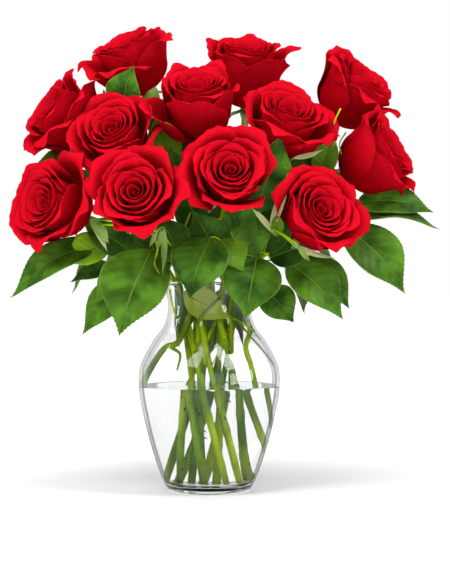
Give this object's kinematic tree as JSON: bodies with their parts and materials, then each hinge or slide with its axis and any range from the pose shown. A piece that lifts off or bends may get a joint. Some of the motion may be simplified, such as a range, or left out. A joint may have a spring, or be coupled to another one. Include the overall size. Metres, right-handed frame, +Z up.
{
  "type": "roses in a vase",
  "caption": "Red rose blooms on leafy green stems standing in water in a clear glass vase with a wide belly and a narrow neck; it rests on the vase's flat foot.",
  "frame": {"origin": "middle of the flat underside of the vase, on the surface it stands on", "axes": "+Z up along the vase's axis, -Y towards the front of the bouquet, +X to the right seen from the front"},
  "size_m": [0.457, 0.2716, 0.503],
  "materials": {
    "glass": "clear polished glass",
    "water": "clear water",
    "petals": "soft velvety deep red petals",
    "leaves": "satin green leaves and stems"
  },
  "bodies": {
    "root": {"vase": "glass", "water": "water", "bloom_01": "petals", "bloom_02": "petals", "bloom_03": "petals", "bloom_04": "petals", "bloom_05": "petals", "bloom_06": "petals", "bloom_07": "petals", "bloom_08": "petals", "bloom_09": "petals", "bloom_10": "petals", "bloom_11": "petals", "bloom_12": "petals", "stem_01": "leaves", "stem_02": "leaves", "stem_03": "leaves", "stem_04": "leaves", "stem_05": "leaves", "stem_06": "leaves", "stem_07": "leaves", "stem_08": "leaves", "stem_09": "leaves", "stem_10": "leaves", "stem_11": "leaves", "stem_12": "leaves"}
  },
  "joints": []
}
